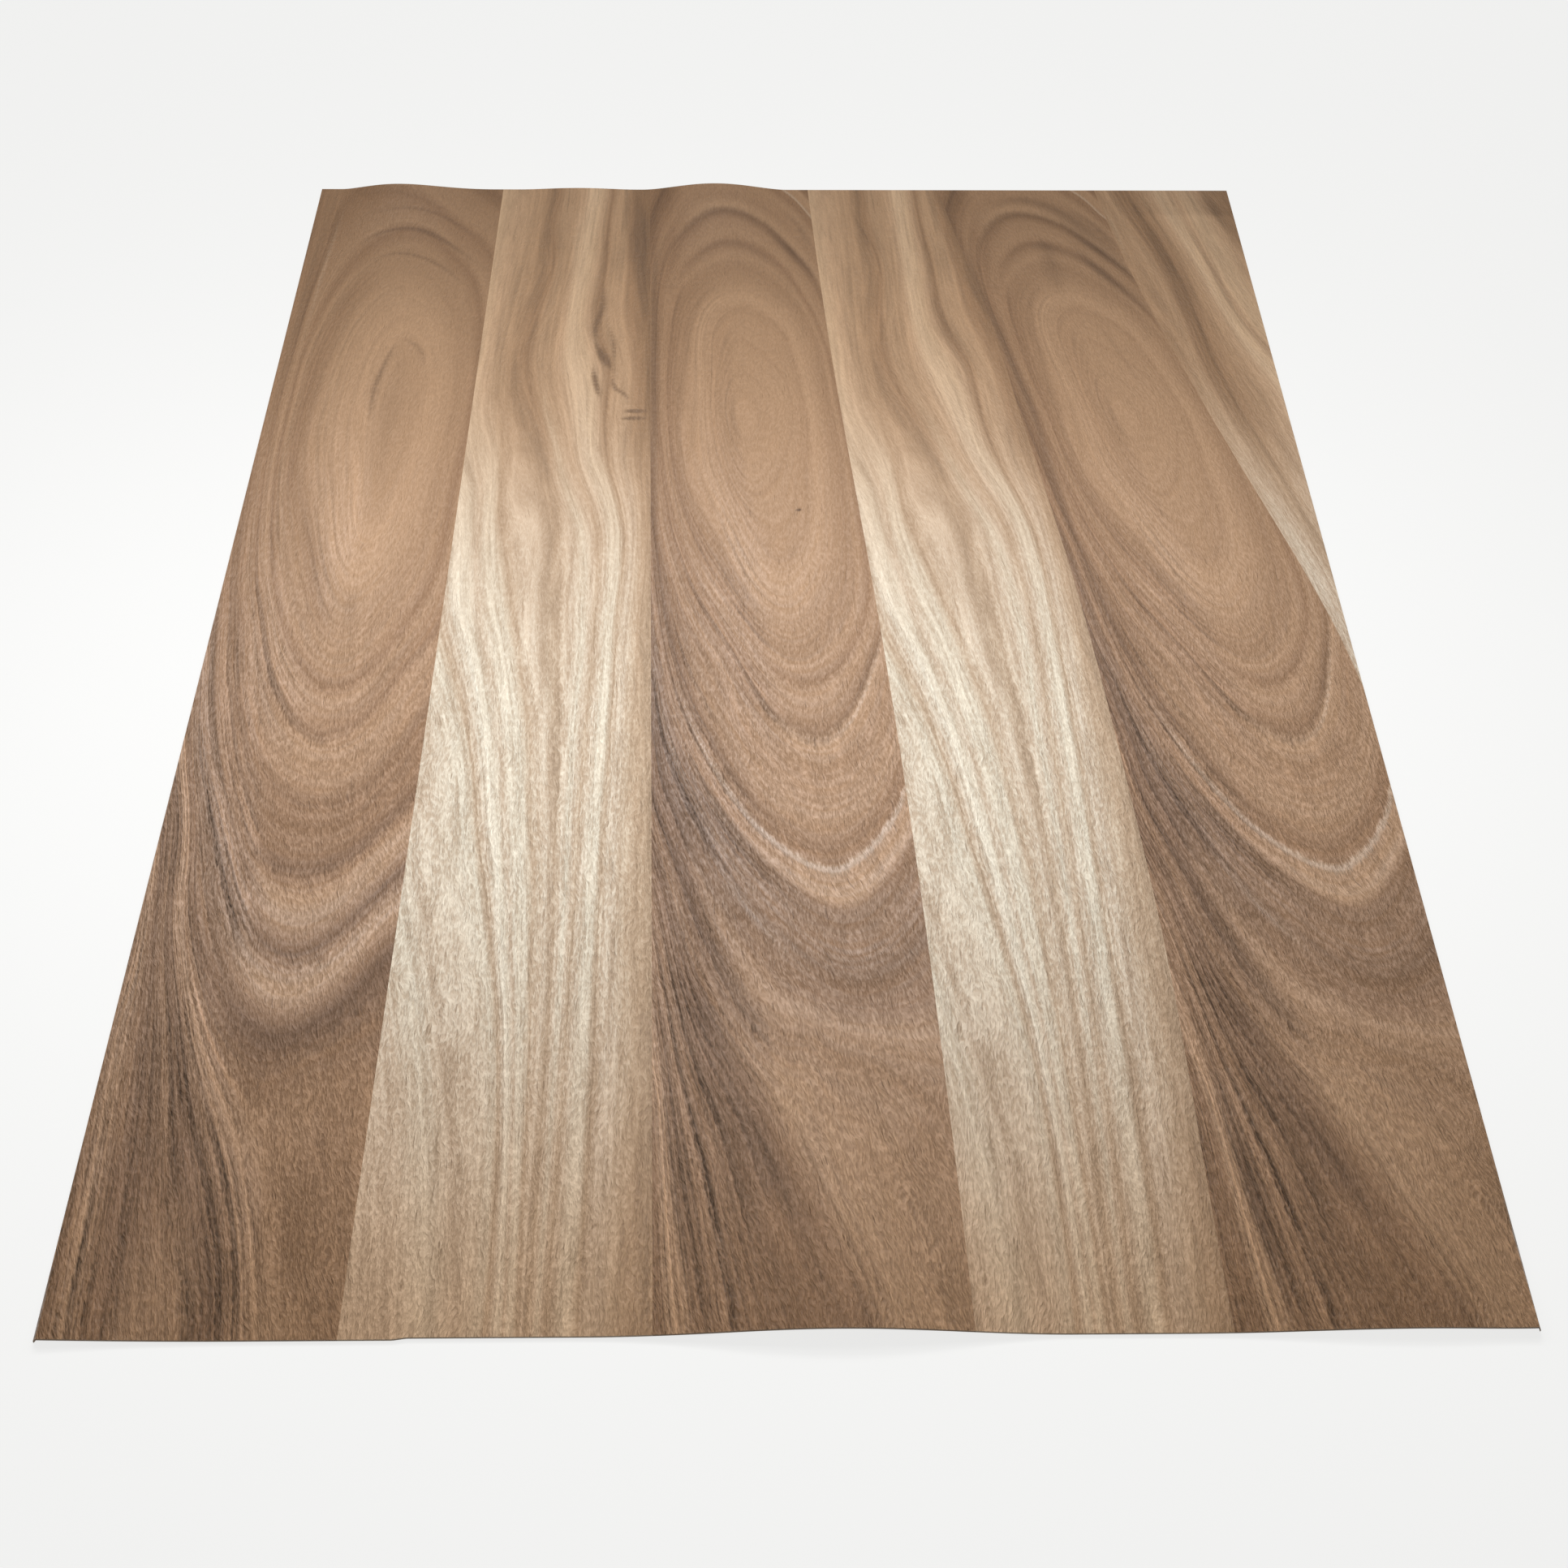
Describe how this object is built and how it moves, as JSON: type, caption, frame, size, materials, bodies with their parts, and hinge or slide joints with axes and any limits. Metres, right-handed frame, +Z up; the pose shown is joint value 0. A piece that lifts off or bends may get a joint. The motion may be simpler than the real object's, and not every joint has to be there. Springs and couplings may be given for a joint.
{
  "type": "wood veneer sheet",
  "caption": "Flat sheet of thick-cut figured wood veneer, spliced edge to edge from knife-cut leaves, with gently wavy end edges.",
  "frame": {"origin": "on the ground, below the middle of the sheet: the centre of the bottom of its bounding box", "axes": "+Z up, out of the face side and through the thickness; +Y along the grain, towards the back edge of the picture; +X across the leaves, to the right"},
  "size_m": [0.4572, 0.6096, 0.0062],
  "materials": {
    "dark_veneer": "raw knife-cut face, dark figured heartwood, silky",
    "pale_veneer": "raw knife-cut face, pale streaky wood, silky"
  },
  "bodies": {
    "root": {"leaf_1": "dark_veneer", "leaf_2": "pale_veneer", "leaf_3": "dark_veneer", "leaf_4": "pale_veneer", "leaf_5": "dark_veneer", "leaf_6": "pale_veneer"}
  },
  "joints": []
}
